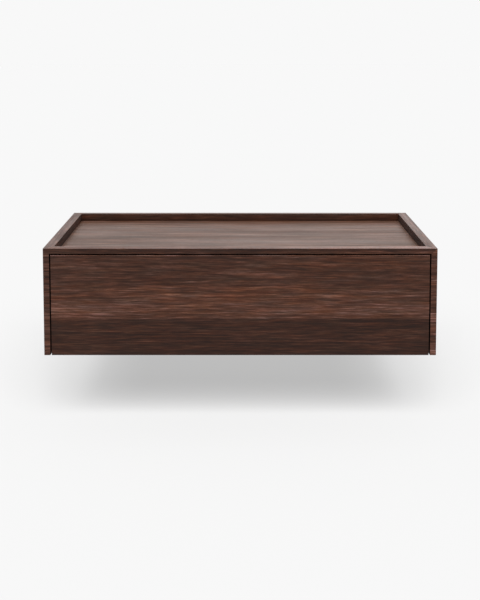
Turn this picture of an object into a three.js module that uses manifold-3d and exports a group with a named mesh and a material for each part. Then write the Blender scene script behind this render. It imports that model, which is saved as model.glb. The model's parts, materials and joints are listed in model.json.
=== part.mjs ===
// A wall-hung nightstand: a shallow tray over one push-to-open drawer, hung on a bevelled cleat.
// Millimetres. +X is to the right, the front faces -Y and +Z is up.
// Heights are measured from the underside of the box and depths from the wall. The last group
// moves the whole thing so that the origin is the middle of the wall cleat's back face.
import * as THREE from "three";
import { ConvexGeometry } from "three/addons/geometries/ConvexGeometry.js";
import { mergeVertices } from "three/addons/utils/BufferGeometryUtils.js";
import Module from "manifold-3d";

// Overall size of the box
const width = 610;
const depth = 406;
const height = 168;

// Boards of the carcass
const sideThickness = 15;
const trayThickness = 15;
const bottomThickness = 12;
const backThickness = 9;
const housingDepth = 5; // how far the tray and the bottom reach into the sides
const tongueThickness = 7; // along the tray's ends, at its underside

// Rim of the tray
const trayRecess = 13;
const backRimDepth = 15;

// Frame round the drawer front
const stileWidth = 9.5;
const topRailHeight = 8.5;
const railLegDepth = 4;
const reveal = 2;

// Hanging cleat
const cleatThickness = 18;
const cleatHeight = 45; // each half, along its back face
const wallCleatSetback = 10; // each end, in from the sides

// Drawer
const frontThickness = 15;
const pressRoom = 3; // behind the front, for pressing it in
const drawerBoard = 12;
const drawerFloorThickness = 6;
const grooveDepth = 6;
const grooveRise = 8; // from the lower edge of the drawer box
const roomUnderBox = 6;
const roomOverBox = 15;

// Ball-bearing slides
const slideHeight = 45;
const slideWidth = 12.5;
const slideSetback = 4; // behind the shoulder of the side panel
const sheet = 1.2;
const slideLip = 1;
const cageSheet = 0.6;
const ballRadius = 1.6;
const ballsPerRow = 8;
const cageShare = 0.45; // of the slide's length

// Push latch
const latchLength = 44;
const latchRadius = 8;
const latchFlangeWidth = 42;
const latchFlangeHeight = 20;
const latchFlangeThickness = 3;
const plungerRadius = 4;
const plungerShow = 5; // between the housing and the tip
const plungerBackRoom = 6;
const springBoreRadius = 2.5;
const springBoreDepth = 30;
const springWire = 0.6;
const springTurns = 12;
const tipRadius = 5;
const tipLength = 5.9;
const tipChamfer = 1;

// Striker plate
const strikerWidth = 36;
const strikerHeight = 16;
const strikerThickness = 1.2;

// Countersunk screws, all of one gauge
const screwHeadRadius = 3.2;
const screwShankRadius = 1.6;
const screwHeadRim = 0.3;
const screwSink = 0.1; // head below the face that it is driven into
const screwBiteShare = 0.7; // of the last board's thickness

// Clearances
const glueLine = 0.1;
const fitGap = 0.3;
const overrun = 1; // cutters past the face that they open
const weld = 0.0001; // corners closer than this are one

// Places of the screws, as shares of the piece that they hold
const outerScrewShares = [0.12, 0.5, 0.88];
const innerScrewShares = [0.12, 0.88];
const cleatScrewShares = [-0.84, -0.3, 0.3, 0.84];
const frontScrewShares = [
  [-0.66, -0.5],
  [0.66, -0.5],
  [-0.66, 0.5],
  [0.66, 0.5],
];
const latchScrewShare = 0.72;
const strikerScrewShare = 0.72;

// Sides of the round pieces
const roundSides = 16;
const screwSides = 12;
const turnSteps = 8;
const wireSides = 5;

// Places across the box
const half = width / 2;
const innerHalf = half - sideThickness;
const frontHalf = half - stileWidth - reveal;
const boxHalf = innerHalf - slideWidth - 2 * glueLine;

// Places from the front to the wall
const front = -depth;
const shoulder = front + frontThickness + pressRoom;
const trayFront = shoulder + railLegDepth;
const backPanelBack = -cleatThickness - fitGap;
const backPanelFront = backPanelBack - backThickness;
const latchBack = backPanelFront - glueLine;
const latchFront = latchBack - latchLength;
const tipBack = latchFront - plungerShow;
const tipFront = tipBack - tipLength - glueLine;
const boxBack = tipFront - fitGap - strikerThickness - glueLine;
const boxFront = front + frontThickness + glueLine;
const slideFront = shoulder + slideSetback;
const slideLength = boxBack - slideFront;

// Places up the box
const trayTop = height - trayRecess;
const trayUnderside = trayTop - trayThickness;
const tongueTop = trayUnderside + tongueThickness;
const frontTop = height - topRailHeight - reveal;
const boxLow = bottomThickness + roomUnderBox;
const boxHigh = trayUnderside - roomOverBox;
const boxMiddle = (boxLow + boxHigh) / 2;
const floorLow = boxLow + grooveRise;
const floorHigh = floorLow + drawerFloorThickness;
const carcassCleatLow = trayUnderside - glueLine - cleatHeight;
const wallCleatHigh = carcassCleatLow - fitGap;
const wallCleatMiddle = wallCleatHigh - cleatHeight / 2;

// Finishes
const finish = (color, roughness, metalness = 0) =>
  new THREE.MeshStandardMaterial({ color, roughness, metalness });
const walnut = () => finish(0x553b32, 0.55);
const paleWood = () => finish(0xc7ab83, 0.6);
const zinc = () => finish(0xb4b8bc, 0.35, 0.9);
const brightSteel = () => finish(0xd0d2d4, 0.2, 1);
const greyPlastic = () => finish(0x8c8f92, 0.5);
const blackPlastic = () => finish(0x1c1c1e, 0.6);

// Solids
const wasm = await Module();
wasm.setup();

// A closed geometry as a solid that can be cut and joined
function solid(geometry) {
  const bare = geometry.clone();
  bare.deleteAttribute("normal");
  bare.deleteAttribute("uv");
  const merged = mergeVertices(bare, weld);
  return new wasm.Manifold(
    new wasm.Mesh({
      numProp: 3,
      vertProperties: merged.attributes.position.array,
      triVerts: new Uint32Array(merged.index.array),
    }),
  );
}

// A solid as a geometry with flat faces
function faceted(body) {
  const cut = body.getMesh();
  const geometry = new THREE.BufferGeometry();
  geometry.setAttribute("position", new THREE.BufferAttribute(cut.vertProperties, 3));
  geometry.setIndex(new THREE.BufferAttribute(cut.triVerts, 1));
  const flat = geometry.toNonIndexed();
  flat.computeVertexNormals();
  return flat;
}

// A block between any two opposite corners
function block(cornerA, cornerB) {
  const size = cornerA.map((value, axis) => Math.abs(cornerB[axis] - value));
  const middle = cornerA.map((value, axis) => (cornerB[axis] + value) / 2);
  return solid(new THREE.BoxGeometry(...size).translate(...middle));
}

// A bar whose outline lies across the box, [x, z], running back from one depth to another
function barAlongY(outline, from, to) {
  const shape = new THREE.Shape(outline.map(([x, z]) => new THREE.Vector2(x, z)));
  const bar = new THREE.ExtrudeGeometry(shape, { depth: to - from, bevelEnabled: false });
  return solid(bar.rotateX(Math.PI / 2).translate(0, to, 0));
}

// A bar whose outline lies front to back, [y, z], running evenly to both sides of the middle
function barAlongX(outline, halfLength) {
  const shape = new THREE.Shape(outline.map(([y, z]) => new THREE.Vector2(y, z)));
  const bar = new THREE.ExtrudeGeometry(shape, { depth: 2 * halfLength, bevelEnabled: false });
  return solid(bar.rotateX(Math.PI / 2).rotateZ(Math.PI / 2).translate(-halfLength, 0, 0));
}

// A turned shape about an axis along Y, from [radius, y] points that start at the far -Y end
function turned(outline, sides) {
  return new THREE.LatheGeometry(
    outline.map(([radius, y]) => new THREE.Vector2(radius, y)),
    sides,
  );
}

// Names a solid that was made in place, and sets its mesh about its own middle
function piece(name, body, material) {
  const geometry = body.isBufferGeometry ? body : faceted(body);
  geometry.computeBoundingBox();
  const middle = geometry.boundingBox.getCenter(new THREE.Vector3());
  const mesh = new THREE.Mesh(geometry.translate(-middle.x, -middle.y, -middle.z), material);
  mesh.name = name;
  mesh.position.copy(middle);
  return mesh;
}

// Countersunk screw: its head's face is at y = 0 and its point runs down to -length
function screwOutline(length, clearance) {
  const shank = screwShankRadius + clearance;
  const head = screwHeadRadius + clearance;
  const neck = -screwHeadRim - (screwHeadRadius - screwShankRadius) - clearance;
  const end = -length - clearance;
  return [
    [0, end],
    [shank, end + 2 * screwShankRadius],
    [shank, neck],
    [head, -screwHeadRim - clearance],
    [head, clearance ? overrun : 0],
    [0, clearance ? overrun : 0],
  ];
}

// A screw driven in at a point on a face, its point going the given way
class Screw {
  constructor(name, at, way, grip, bite) {
    this.name = name;
    this.length = grip + bite * screwBiteShare - screwSink;
    this.way = new THREE.Vector3(...way);
    this.at = new THREE.Vector3(...at).addScaledVector(this.way, screwSink);
    this.turn = new THREE.Quaternion().setFromUnitVectors(new THREE.Vector3(0, -1, 0), this.way);
  }
  mesh() {
    const made = new THREE.Mesh(turned(screwOutline(this.length, 0), screwSides), zinc());
    made.name = this.name;
    made.position.copy(this.at);
    made.quaternion.copy(this.turn);
    return made;
  }
  hole() {
    const cutter = turned(screwOutline(this.length, fitGap), screwSides);
    return solid(cutter.applyQuaternion(this.turn).translate(this.at.x, this.at.y, this.at.z));
  }
}

// A solid with the holes of its screws cut out of it
function drilled(body, screws) {
  return screws.reduce((left, screw) => left.subtract(screw.hole()), body);
}

const sides = [
  { name: "left", sign: -1 },
  { name: "right", sign: 1 },
];

// Screws of the hanging cleat, driven through the back panel from inside
const cleatScrewLevel = trayUnderside - (cleatHeight - cleatThickness) / 2;
const cleatScrews = cleatScrewShares.map(
  (share, i) =>
    new Screw(
      `cleat_screw_${i + 1}`,
      [share * innerHalf, backPanelFront, cleatScrewLevel],
      [0, 1, 0],
      backThickness + fitGap,
      cleatThickness,
    ),
);

// Screws that hold the drawer front to the drawer box, driven from inside the box
const boxFrontInside = boxFront + drawerBoard;
const frontScrews = frontScrewShares.map(
  ([across, up], i) =>
    new Screw(
      `front_screw_${i + 1}`,
      [across * boxHalf, boxFrontInside, boxMiddle + (up * (boxHigh - boxLow)) / 2],
      [0, -1, 0],
      drawerBoard + glueLine,
      frontThickness,
    ),
);

// Screws of the latch and of its striker plate
const latchScrews = sides.map(
  ({ name, sign }) =>
    new Screw(
      `latch_screw_${name}`,
      [(sign * latchScrewShare * latchFlangeWidth) / 2, latchBack - latchFlangeThickness, boxMiddle],
      [0, 1, 0],
      latchFlangeThickness + glueLine,
      backThickness,
    ),
);
const strikerScrews = sides.map(
  ({ name, sign }) =>
    new Screw(
      `striker_screw_${name}`,
      [(sign * strikerScrewShare * strikerWidth) / 2, boxBack + glueLine + strikerThickness, boxMiddle],
      [0, -1, 0],
      strikerThickness + glueLine,
      drawerBoard,
    ),
);

// Slides: distances across, from the side panel's face towards the drawer
const outerWeb = glueLine;
const outerCageWeb = outerWeb + sheet + fitGap;
const middleWeb = outerCageWeb + cageSheet + fitGap;
const innerCageWeb = middleWeb + sheet + fitGap;
const innerEdge = innerCageWeb + cageSheet + fitGap;
const innerWeb = outerWeb + slideWidth;
const flangeReach = innerWeb - sheet - fitGap;
const outerBallAcross = (outerCageWeb + cageSheet + flangeReach - sheet) / 2;
const innerBallAcross = (innerCageWeb + cageSheet + flangeReach - sheet) / 2;

// Slides: distances up and down from their middle
const outerBallRise = slideHeight / 2 - sheet - fitGap - ballRadius;
const middleHalf = outerBallRise - ballRadius - fitGap;
const innerBallRise = middleHalf - sheet - fitGap - ballRadius;
const innerHalfHeight = innerBallRise - ballRadius - fitGap;

// Screws of one slide's outer member, into the side panel, and of its inner member, into the drawer
function slideScrews({ name, sign }) {
  const at = (across, share) => [
    sign * (innerHalf - across),
    slideFront + share * slideLength,
    boxMiddle,
  ];
  const grip = sheet + glueLine;
  return {
    outer: outerScrewShares.map(
      (share, i) =>
        new Screw(
          `${name}_outer_screw_${i + 1}`,
          at(outerWeb + sheet, share),
          [sign, 0, 0],
          grip,
          sideThickness,
        ),
    ),
    inner: innerScrewShares.map(
      (share, i) =>
        new Screw(
          `${name}_inner_screw_${i + 1}`,
          at(innerWeb - sheet, share),
          [-sign, 0, 0],
          grip,
          drawerBoard,
        ),
    ),
  };
}
const screwsOf = { left: slideScrews(sides[0]), right: slideScrews(sides[1]) };

// Sheet-metal channel: a web at one distance across, flanges to another, edges turned in
function channel({ sign }, web, reach, rise) {
  const inward = Math.sign(reach - web) * sheet;
  const inside = rise - sheet;
  const edge = inside - slideLip;
  const outline = [
    [web, -rise],
    [reach, -rise],
    [reach, -edge],
    [reach - inward, -edge],
    [reach - inward, -inside],
    [web + inward, -inside],
    [web + inward, inside],
    [reach - inward, inside],
    [reach - inward, edge],
    [reach, edge],
    [reach, rise],
    [web, rise],
  ];
  const placed = outline.map(([across, up]) => [sign * (innerHalf - across), boxMiddle + up]);
  return barAlongY(placed, slideFront, boxBack);
}

// Ball cage: a thin trough whose two arms hold a row of balls each
function ballCage({ sign }, web, ballAcross, ballRise) {
  const reach = ballAcross + ballRadius + cageSheet;
  const inside = ballRise - cageSheet / 2;
  const outside = ballRise + cageSheet / 2;
  const outline = [
    [web, -outside],
    [reach, -outside],
    [reach, -inside],
    [web + cageSheet, -inside],
    [web + cageSheet, inside],
    [reach, inside],
    [reach, outside],
    [web, outside],
  ];
  const placed = outline.map(([across, up]) => [sign * (innerHalf - across), boxMiddle + up]);
  const length = cageShare * slideLength;
  const middle = slideFront + slideLength / 2;
  const pitch = length / ballsPerRow;
  let cage = barAlongY(placed, middle - length / 2, middle + length / 2);
  for (let i = 0; i < ballsPerRow; i++) {
    const along = middle - length / 2 + (i + 1 / 2) * pitch;
    for (const up of [-ballRise, ballRise]) {
      const ball = new THREE.IcosahedronGeometry(ballRadius, 0);
      ball.translate(sign * (innerHalf - ballAcross), along, boxMiddle + up);
      cage = cage.add(solid(ball));
    }
  }
  return cage;
}

// One slide: three members, two ball cages and its screws
function slide(side) {
  const { outer, inner } = screwsOf[side.name];
  const name = (part) => `${side.name}_slide_${part}`;
  const outerMember = channel(side, outerWeb, flangeReach, slideHeight / 2);
  const middleMember = channel(side, middleWeb, flangeReach, middleHalf);
  const innerMember = channel(side, innerWeb, innerEdge, innerHalfHeight);
  const outerCage = ballCage(side, outerCageWeb, outerBallAcross, outerBallRise);
  const innerCage = ballCage(side, innerCageWeb, innerBallAcross, innerBallRise);
  const group = new THREE.Group();
  group.add(
    piece(name("outer"), drilled(outerMember, outer), zinc()),
    piece(name("outer_cage"), outerCage, brightSteel()),
    piece(name("middle"), middleMember, zinc()),
    piece(name("inner_cage"), innerCage, brightSteel()),
    piece(name("inner"), drilled(innerMember, inner), zinc()),
    ...outer.map((screw) => screw.mesh()),
    ...inner.map((screw) => screw.mesh()),
  );
  return group;
}

// A point given by how far it is in from the side, back from the front and down from the rim
function cornerPoint(sign, across, back, down) {
  return [sign * (half - across), front + back, height - down];
}

// What the side panel keeps at the front top corner. The mitre plane runs from the outer corner
// to the inner corner of the frame on the front face, and of the tray's rim on the top face.
function mitreHalf(sign, gap) {
  const points = [];
  for (const back of [-overrun, trayFront - front + overrun]) {
    for (const down of [-overrun, topRailHeight + overrun]) {
      const shareBack = back / (trayFront - front);
      const shareDown = down / topRailHeight;
      const plane = sideThickness * shareBack + stileWidth * shareDown + gap;
      points.push(cornerPoint(sign, plane, back, down));
      points.push(cornerPoint(sign, -sideThickness, back, down));
    }
  }
  const wedge = solid(new ConvexGeometry(points.map((point) => new THREE.Vector3(...point))));
  const panel = block(
    cornerPoint(sign, -sideThickness - overrun, -2 * overrun, -2 * overrun),
    cornerPoint(sign, sideThickness + gap, depth, height),
  );
  return wedge.intersect(panel);
}

// Side panel: rebated for the drawer front, housed for the tray and bottom, mitred to the rail
function sidePanel({ name, sign }) {
  const outside = sign * half;
  const inside = sign * innerHalf;
  const pastInside = sign * (innerHalf - overrun);
  const inHousing = sign * (innerHalf + housingDepth);
  const railSeat = block(
    cornerPoint(sign, -overrun, -overrun, -overrun),
    cornerPoint(sign, sideThickness + overrun, trayFront - front + glueLine, topRailHeight + glueLine),
  ).subtract(mitreHalf(sign, 0));
  const rebate = block(
    [pastInside, front - overrun, -overrun],
    [sign * (half - stileWidth), shoulder, height - topRailHeight],
  );
  const trayHousing = block(
    [pastInside, trayFront, trayUnderside - glueLine],
    [inHousing, -backRimDepth, tongueTop + glueLine],
  );
  const bottomHousing = block(
    [pastInside, shoulder - glueLine, -overrun],
    [inHousing, backPanelFront, bottomThickness + glueLine],
  );
  const blank = block([outside, front, 0], [inside, 0, height]);
  const cut = blank
    .subtract(railSeat)
    .subtract(rebate)
    .subtract(trayHousing)
    .subtract(bottomHousing);
  return piece(`${name}_side_panel`, drilled(cut, screwsOf[name].outer), walnut());
}

// Front rail: the bar over the drawer front and the front rim of the tray, with a leg behind
function frontRail() {
  const bar = block([-half, front, height - topRailHeight], [half, trayFront, height]);
  const legHalf = innerHalf - glueLine;
  const leg = block([-legHalf, shoulder, trayUnderside], [legHalf, trayFront, height]);
  const joined = bar.add(leg);
  const mitred = sides.reduce((left, { sign }) => left.subtract(mitreHalf(sign, glueLine)), joined);
  return piece("front_rail", mitred, walnut());
}

function backRail() {
  const railHalf = innerHalf - glueLine;
  const rail = block([-railHalf, -backRimDepth, trayUnderside], [railHalf, 0, height]);
  return piece("back_rail", rail, walnut());
}

// Tray: its face ends at the side panels, and a tongue along each end goes into them
function trayPanel() {
  const faceHalf = innerHalf - glueLine;
  const tongueHalf = faceHalf + housingDepth;
  const frontEdge = trayFront + glueLine;
  const backEdge = -backRimDepth - glueLine;
  const board = block([-faceHalf, frontEdge, trayUnderside], [faceHalf, backEdge, trayTop]);
  const tongues = block([-tongueHalf, frontEdge, trayUnderside], [tongueHalf, backEdge, tongueTop]);
  return piece("tray_panel", board.add(tongues), walnut());
}

function bottomPanel() {
  const panelHalf = innerHalf + housingDepth - glueLine;
  const panel = block(
    [-panelHalf, shoulder, 0],
    [panelHalf, backPanelFront - glueLine, bottomThickness],
  );
  return piece("bottom_panel", panel, walnut());
}

function backPanel() {
  const panelHalf = innerHalf - glueLine;
  const panel = block(
    [-panelHalf, backPanelFront, 0],
    [panelHalf, backPanelBack, trayUnderside - glueLine],
  );
  return piece("back_panel", drilled(panel, [...cleatScrews, ...latchScrews]), walnut());
}

// Hanging cleat: the carcass half hooks down behind the bevel of the wall half
function carcassCleat() {
  const outline = [
    [0, carcassCleatLow],
    [0, trayUnderside - glueLine],
    [-cleatThickness, trayUnderside - glueLine],
    [-cleatThickness, carcassCleatLow + cleatThickness],
  ];
  const cleat = barAlongX(outline, innerHalf - glueLine);
  return piece("carcass_cleat", drilled(cleat, cleatScrews), paleWood());
}

function wallCleat() {
  const outline = [
    [0, wallCleatHigh - cleatHeight],
    [0, wallCleatHigh],
    [-cleatThickness, wallCleatHigh + cleatThickness],
    [-cleatThickness, wallCleatHigh - cleatHeight],
  ];
  return piece("wall_cleat", barAlongX(outline, innerHalf - wallCleatSetback), paleWood());
}

// Drawer: a front and a box with its floor in grooves
const grooveLow = floorLow - glueLine;
const grooveHigh = floorHigh + glueLine;
const boxInnerHalf = boxHalf - drawerBoard;
const boxBackInside = boxBack - drawerBoard;

function drawerFront() {
  const board = block([-frontHalf, front, 0], [frontHalf, front + frontThickness, frontTop]);
  return piece("drawer_front", drilled(board, frontScrews), walnut());
}

function drawerSide({ name, sign }) {
  const board = block([sign * boxInnerHalf, boxFront, boxLow], [sign * boxHalf, boxBack, boxHigh]);
  const groove = block(
    [sign * (boxInnerHalf - overrun), boxFrontInside - grooveDepth, grooveLow],
    [sign * (boxInnerHalf + grooveDepth), boxBackInside + grooveDepth, grooveHigh],
  );
  const cut = drilled(board.subtract(groove), screwsOf[name].inner);
  return piece(`drawer_side_${name}`, cut, paleWood());
}

// Front or back of the drawer box, between its outer and inner faces, grooved on the inner one
function boxEnd(name, outer, inner, screws) {
  const inward = Math.sign(inner - outer);
  const endHalf = boxInnerHalf - glueLine;
  const board = block([-endHalf, outer, boxLow], [endHalf, inner, boxHigh]);
  const groove = block(
    [-endHalf - overrun, inner - inward * grooveDepth, grooveLow],
    [endHalf + overrun, inner + inward * overrun, grooveHigh],
  );
  return piece(name, drilled(board.subtract(groove), screws), paleWood());
}

function drawerFloor() {
  const reach = grooveDepth - glueLine;
  const panel = block(
    [-boxInnerHalf - reach, boxFrontInside - reach, floorLow],
    [boxInnerHalf + reach, boxBackInside + reach, floorHigh],
  );
  return piece("drawer_bottom", panel, paleWood());
}

function strikerPlate() {
  const plate = block(
    [-strikerWidth / 2, boxBack + glueLine, boxMiddle - strikerHeight / 2],
    [strikerWidth / 2, boxBack + glueLine + strikerThickness, boxMiddle + strikerHeight / 2],
  );
  return piece("striker_plate", drilled(plate, strikerScrews), brightSteel());
}

// Push latch: a housing on the back panel, and a plunger whose magnet tip meets the striker plate
const latchFloor = latchBack - latchFlangeThickness;
const plungerBack = latchFloor - plungerBackRoom;
const springBoreEnd = plungerBack - springBoreDepth;

function latchHousing() {
  const barrel = turned(
    [
      [0, latchFront],
      [latchRadius, latchFront],
      [latchRadius, latchBack],
      [0, latchBack],
    ],
    roundSides,
  ).translate(0, 0, boxMiddle);
  const flange = block(
    [-latchFlangeWidth / 2, latchFloor, boxMiddle - latchFlangeHeight / 2],
    [latchFlangeWidth / 2, latchBack, boxMiddle + latchFlangeHeight / 2],
  );
  const boreRadius = plungerRadius + fitGap;
  const bore = turned(
    [
      [0, latchFront - overrun],
      [boreRadius, latchFront - overrun],
      [boreRadius, latchFloor],
      [0, latchFloor],
    ],
    roundSides,
  ).translate(0, 0, boxMiddle);
  const housing = solid(barrel).add(flange).subtract(solid(bore));
  return piece("latch_housing", drilled(housing, latchScrews), greyPlastic());
}

function latchPlunger() {
  const outline = [
    [0, tipBack],
    [plungerRadius, tipBack],
    [plungerRadius, plungerBack],
    [springBoreRadius, plungerBack],
    [springBoreRadius, springBoreEnd],
    [0, springBoreEnd],
  ];
  return piece("latch_plunger", turned(outline, roundSides).translate(0, 0, boxMiddle), greyPlastic());
}

function latchTip() {
  const outline = [
    [0, tipFront],
    [tipRadius - tipChamfer, tipFront],
    [tipRadius, tipFront + tipChamfer],
    [tipRadius, tipBack - glueLine],
    [0, tipBack - glueLine],
  ];
  return piece("latch_tip", turned(outline, roundSides).translate(0, 0, boxMiddle), blackPlastic());
}

// The middle line of a spring along Y
class Coil extends THREE.Curve {
  constructor(radius, length, turns) {
    super();
    Object.assign(this, { radius, length, turns });
  }
  getPoint(share, point = new THREE.Vector3()) {
    const angle = 2 * Math.PI * this.turns * share;
    return point.set(
      this.radius * Math.cos(angle),
      this.length * share,
      this.radius * Math.sin(angle),
    );
  }
}

// Spring: from the floor of the housing into the bore of the plunger
function latchSpring() {
  const wireRadius = springWire / 2;
  const coilRadius = springBoreRadius - fitGap - wireRadius;
  const start = springBoreEnd + fitGap + wireRadius;
  const end = latchFloor - fitGap - wireRadius;
  const corners = Array.from({ length: wireSides }, (_, i) => {
    const angle = (2 * Math.PI * i) / wireSides;
    return new THREE.Vector2(wireRadius * Math.cos(angle), wireRadius * Math.sin(angle));
  });
  const wire = new THREE.ExtrudeGeometry(new THREE.Shape(corners), {
    extrudePath: new Coil(coilRadius, end - start, springTurns),
    steps: springTurns * turnSteps,
  });
  return piece("latch_spring", wire.translate(0, start, boxMiddle), brightSteel());
}

// The object
const carcass = new THREE.Group();
carcass.add(
  ...sides.map(sidePanel),
  frontRail(),
  backRail(),
  trayPanel(),
  bottomPanel(),
  backPanel(),
  carcassCleat(),
  wallCleat(),
  ...cleatScrews.map((screw) => screw.mesh()),
);

const drawer = new THREE.Group();
drawer.add(
  drawerFront(),
  boxEnd("drawer_box_front", boxFront, boxFrontInside, frontScrews),
  boxEnd("drawer_box_back", boxBack, boxBackInside, strikerScrews),
  ...sides.map(drawerSide),
  drawerFloor(),
  strikerPlate(),
  ...frontScrews.map((screw) => screw.mesh()),
  ...strikerScrews.map((screw) => screw.mesh()),
);

const latch = new THREE.Group();
latch.add(
  latchHousing(),
  latchPlunger(),
  latchTip(),
  latchSpring(),
  ...latchScrews.map((screw) => screw.mesh()),
);

const nightstand = new THREE.Group();
nightstand.name = "floating_nightstand";
nightstand.add(carcass, drawer, latch, ...sides.map(slide));
nightstand.position.z = -wallCleatMiddle;

export default nightstand;
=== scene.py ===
"""Looks of a wall-hung walnut nightstand: a shallow tray over one push-to-open drawer.

Metres. +X is to the right, the front faces -Y, +Z is up, and the wall is the plane y = 0.
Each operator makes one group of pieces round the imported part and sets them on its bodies.
"""

import json
import math

import bmesh
import bpy
from mathutils import Matrix, Vector


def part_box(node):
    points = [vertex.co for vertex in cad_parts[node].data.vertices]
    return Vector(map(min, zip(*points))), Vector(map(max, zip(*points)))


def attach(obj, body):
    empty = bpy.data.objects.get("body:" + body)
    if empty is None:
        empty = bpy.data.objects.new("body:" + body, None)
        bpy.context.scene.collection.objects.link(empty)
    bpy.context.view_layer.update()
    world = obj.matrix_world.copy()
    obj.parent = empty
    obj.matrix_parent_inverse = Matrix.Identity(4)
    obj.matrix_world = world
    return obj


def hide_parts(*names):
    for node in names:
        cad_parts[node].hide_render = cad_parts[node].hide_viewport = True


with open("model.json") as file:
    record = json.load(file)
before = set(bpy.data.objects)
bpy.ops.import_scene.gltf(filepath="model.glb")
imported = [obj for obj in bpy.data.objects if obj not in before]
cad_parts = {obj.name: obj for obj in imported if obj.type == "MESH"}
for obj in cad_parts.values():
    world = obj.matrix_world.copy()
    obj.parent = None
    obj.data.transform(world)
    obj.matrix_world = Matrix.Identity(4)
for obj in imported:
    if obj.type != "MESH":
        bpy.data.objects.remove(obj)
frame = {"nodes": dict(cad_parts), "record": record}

bl_info = {
    "name": "Floating Nightstand",
    "version": (1, 0, 0),
    "blender": (4, 5, 0),
    "location": "View3D > Sidebar > Nightstand",
    "description": "Makes the pieces and finishes of a wall-hung walnut nightstand",
    "category": "Object",
}

SIDES = ("left", "right")
AXES = {"x": 0, "y": 1, "z": 2}
WELD = 1e-6
FLAT = math.radians(1)
ROUND = 48  # sides of a turned piece
CORNER = math.radians(40)  # two faces that meet at more than this make a corner
SMOOTH = math.radians(35)  # turned and moulded pieces are smooth-shaded up to this
RIM = math.radians(60)  # the edges round a flat plate turn by more than this
STRAIGHT = 0.95  # of a normal along one axis, for a face that looks that way
EXACT = 0.999  # the same, for a board's faces and edges that aren't slanted at all
FACING = 0.5  # the same, for a face that looks more or less that way
TOUCH = 0.0003  # two places nearer than this are the same place
SHORTEST_ARRIS = 0.004  # shorter edges of a board stay sharp
SHORTEST_FOLD = 0.02  # and so do shorter edges of a ball cage
LONG_FOLD = 0.2  # what runs the length of a slide or a side is longer than this
SHEET_SMOOTH = math.radians(50)  # the slides' folded sheet is smooth-shaded up to this
BALL_REACH = 0.8507  # of its radius, along an axis, in the part's twenty-faced balls
NEAR_WHITE = 0.939  # the light of the floor and the surroundings

# The latch's housing, and the room that is left in holes
BARREL = 0.008  # radius
FLANGE = 0.003  # thickness
PLUNGER_GAP = 0.0003
SCREW_GAP = 0.0003

# Stops of painted light and shade by which some faces differ from the rest of their board: painted
# highlights on the arrises, painted sheen on the rim tops, painted shade in the reveals
ARRIS_PAINTED_HIGHLIGHT = 0.2
SIDE_RIM_TOP_PAINTED_SHEEN = 0.5
FRONT_RIM_TOP_PAINTED_SHEEN = 1.6
REVEAL_PAINTED_SHADE = -3.0
FRONT_ARRIS_PAINTED_HIGHLIGHT = 0.4
FRONT_TOP_ARRIS_PAINTED_HIGHLIGHT = 1.9
FRONT_TOP_PAINTED_SHADE = -1.5
FRONT_ENDS_PAINTED_SHADE = -0.8

# The camera: its place, how far it looks down in degrees, and how far the picture is shifted
CAMERA_PLACE = (-0.0018, -2.4752, 0.4363)
CAMERA_TILT = 6.446
CAMERA_SHIFT = (0.00167, -0.2)


def srgb(red, green, blue):
    """A colour as a screen shows it, 0 to 255, in the linear values that materials take."""

    def linear(value):
        share = value / 255
        return share / 12.92 if share <= 0.04045 else ((share + 0.055) / 1.055) ** 2.4

    return tuple(linear(value) for value in (red, green, blue))


def number_setting(name, description, default, **limits):
    return bpy.props.FloatProperty(name=name, description=description, default=default, **limits)


def length_setting(name, description, default):
    limits = {"min": 0.0, "precision": 5, "subtype": "DISTANCE", "unit": "LENGTH"}
    return number_setting(name, description, default, **limits)


def share_setting(name, description, default):
    return number_setting(name, description, default, min=0.0, max=1.0, subtype="FACTOR")


def count_setting(name, description, default):
    return bpy.props.IntProperty(name=name, description=description, default=default, min=1)


def colour_setting(name, description, default):
    return bpy.props.FloatVectorProperty(
        name=name,
        description=description,
        default=default,
        size=3,
        min=0.0,
        max=1.0,
        subtype="COLOR",
    )


# Settings


class WoodSettings(bpy.types.PropertyGroup):
    arris: length_setting("Arris", "Width of the softened edges of the boards", 0.0005)
    walnut: colour_setting("Walnut", "Ground colour of the walnut", srgb(66, 38, 26))
    walnut_fleck: colour_setting("Walnut flecks", "Warm flecks of the walnut", srgb(76, 40, 21))
    # The tray's ground is paler and greyer than the walnut's: painted sheen
    walnut_tray: colour_setting("Tray walnut", "Ground colour of the tray", srgb(76, 51, 38))
    walnut_figure: number_setting("Walnut figure", "How strongly the walnut's figure shows", 1.0)
    walnut_roughness: share_setting("Walnut roughness", "Roughness of the satin coat", 0.38)
    birch: colour_setting("Birch", "Face veneer of the plywood", srgb(214, 186, 146))
    birch_line: colour_setting("Ply line", "Darker plies along a cut edge", srgb(150, 112, 74))


class MetalSettings(bpy.types.PropertyGroup):
    zinc: colour_setting("Zinc", "Zinc plate of the slides", srgb(196, 199, 203))
    steel: colour_setting("Steel", "Bright bare steel", srgb(208, 209, 211))
    bend: length_setting("Bend", "Outside radius of the folded sheet", 0.0009)
    inner_bend: length_setting("Inner bend", "Inside radius of the folded sheet", 0.0003)
    lip: length_setting("Lip", "Radius of the eased edges of the sheet's lips", 0.0003)
    widest_sheet: length_setting("Widest sheet", "A face narrower than this is a cut edge", 0.0015)
    ball: length_setting("Ball radius", "Radius of the steel balls of the slides", 0.0016)
    cage_sheet: length_setting("Cage sheet", "Thickness of a ball cage", 0.0006)
    balls: count_setting("Balls", "Balls in each row", 8)


class ScrewSettings(bpy.types.PropertyGroup):
    head: length_setting("Head radius", "Radius of the countersunk head", 0.0032)
    shank: length_setting("Shank radius", "Radius of the shank under the head", 0.0016)
    core: length_setting("Core radius", "Radius at the bottom of the thread", 0.0011)
    pitch: length_setting("Pitch", "Distance from one turn of the thread to the next", 0.0014)
    recess: length_setting("Recess width", "Width of each arm of the cross recess", 0.0008)
    recess_depth: length_setting("Recess depth", "Depth of the cross recess", 0.0011)


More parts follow.
